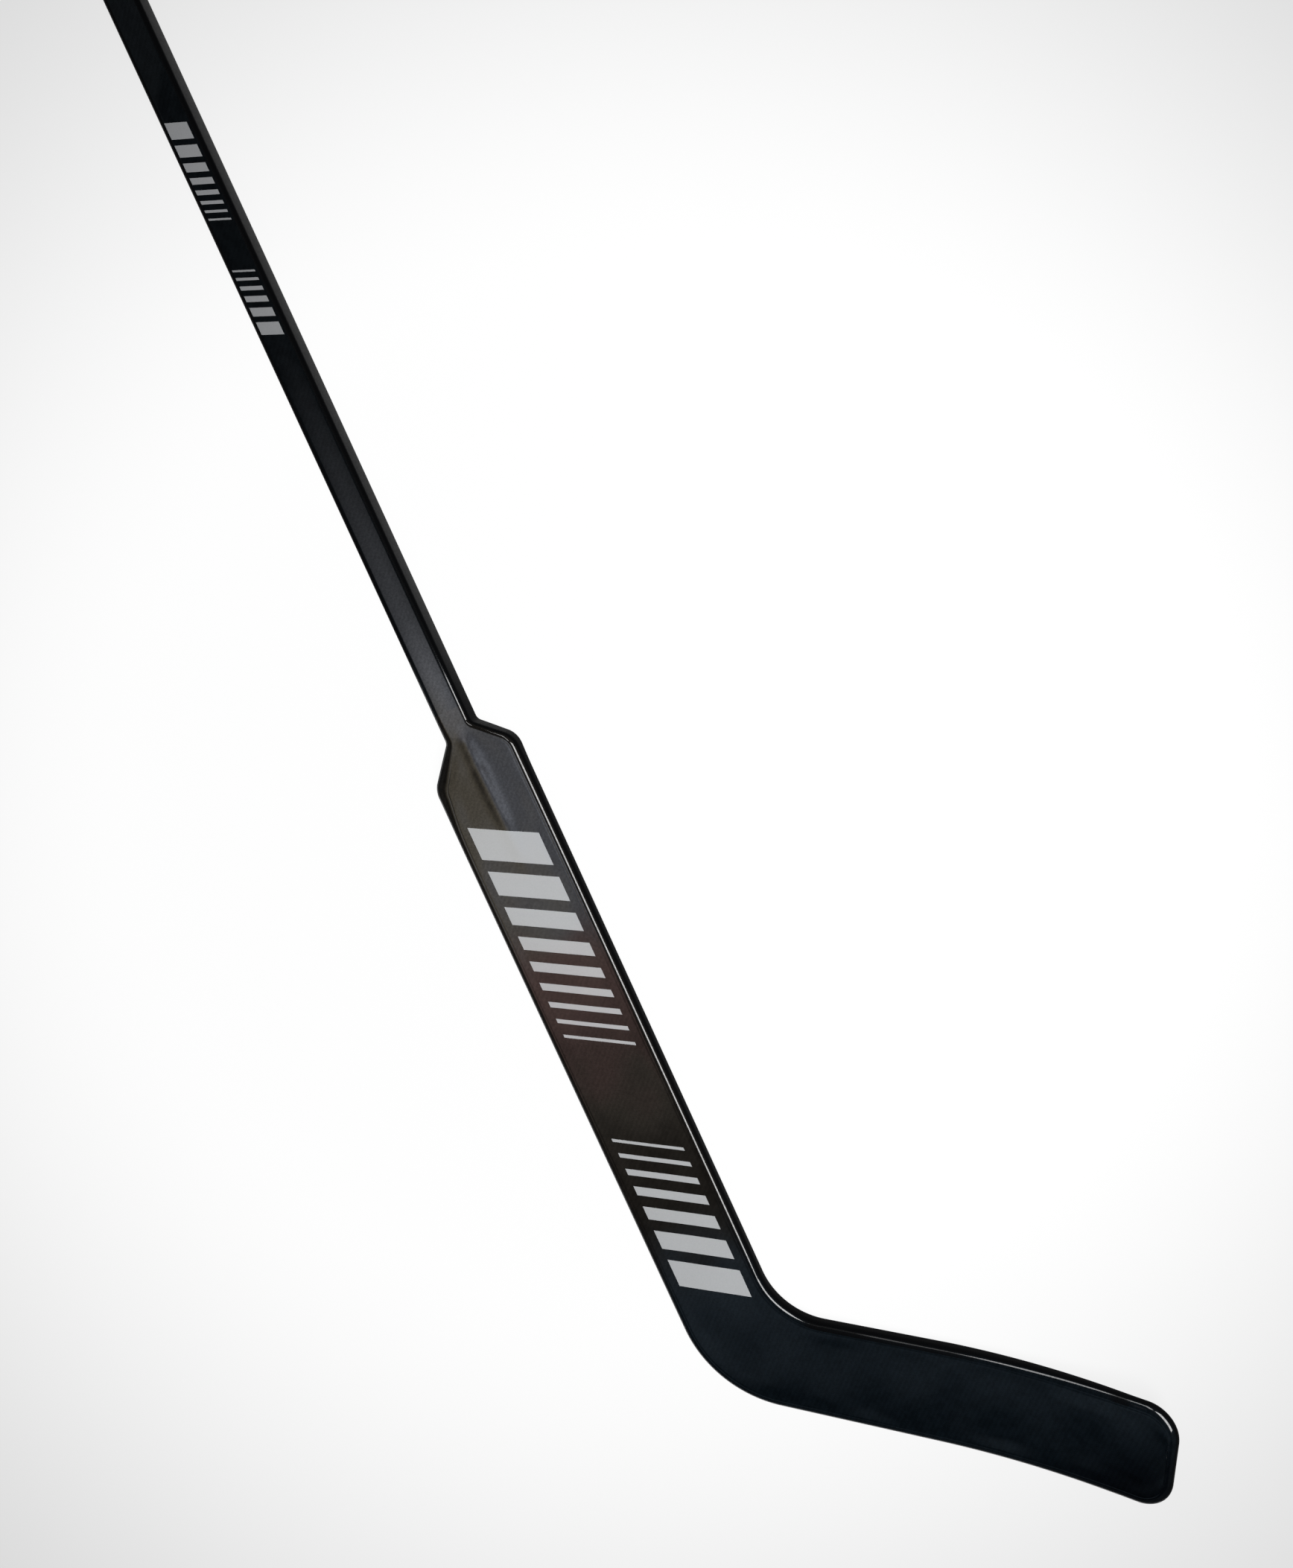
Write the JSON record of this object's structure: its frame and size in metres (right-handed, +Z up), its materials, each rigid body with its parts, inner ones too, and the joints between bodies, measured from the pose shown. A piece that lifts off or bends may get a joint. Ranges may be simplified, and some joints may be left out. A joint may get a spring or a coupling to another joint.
{
  "type": "hockey goalie stick",
  "caption": "Black composite hockey goalie stick: hollow rectangular shaft, wide flat paddle and a blade that curves forward at the toe; lies on its back.",
  "frame": {"origin": "grip point: on the back face of the shaft, on its centre line, 60 mm above the shoulders", "axes": "+Y up the shaft to the butt end, +X towards the side that the blade is on, +Z up, out of the front face; the stick lies on its back"},
  "size_m": [0.3749, 1.6467, 0.0423],
  "materials": {
    "shaft_laminate": "satin black painted carbon laminate",
    "face_laminate": "glossy clear coat over dark carbon laminate",
    "edge_laminate": "glossy black",
    "plug_plastic": "matte moulded black",
    "web_laminate": "raw dark laminate",
    "core_foam": "pale rigid foam"
  },
  "bodies": {
    "root": {"shaft_tube": "shaft_laminate", "shaft_tongue": "face_laminate", "end_plug": "plug_plastic", "front_skin": "face_laminate", "back_skin": "face_laminate", "inner_edge_wrap": "edge_laminate", "outer_edge_wrap": "edge_laminate", "toe_edge_wrap": "edge_laminate", "paddle_web": "web_laminate", "blade_web": "web_laminate", "paddle_core_inner": "core_foam", "paddle_core_outer": "core_foam", "heel_core": "core_foam", "blade_core_upper": "core_foam", "blade_core_lower": "core_foam"}
  },
  "joints": []
}
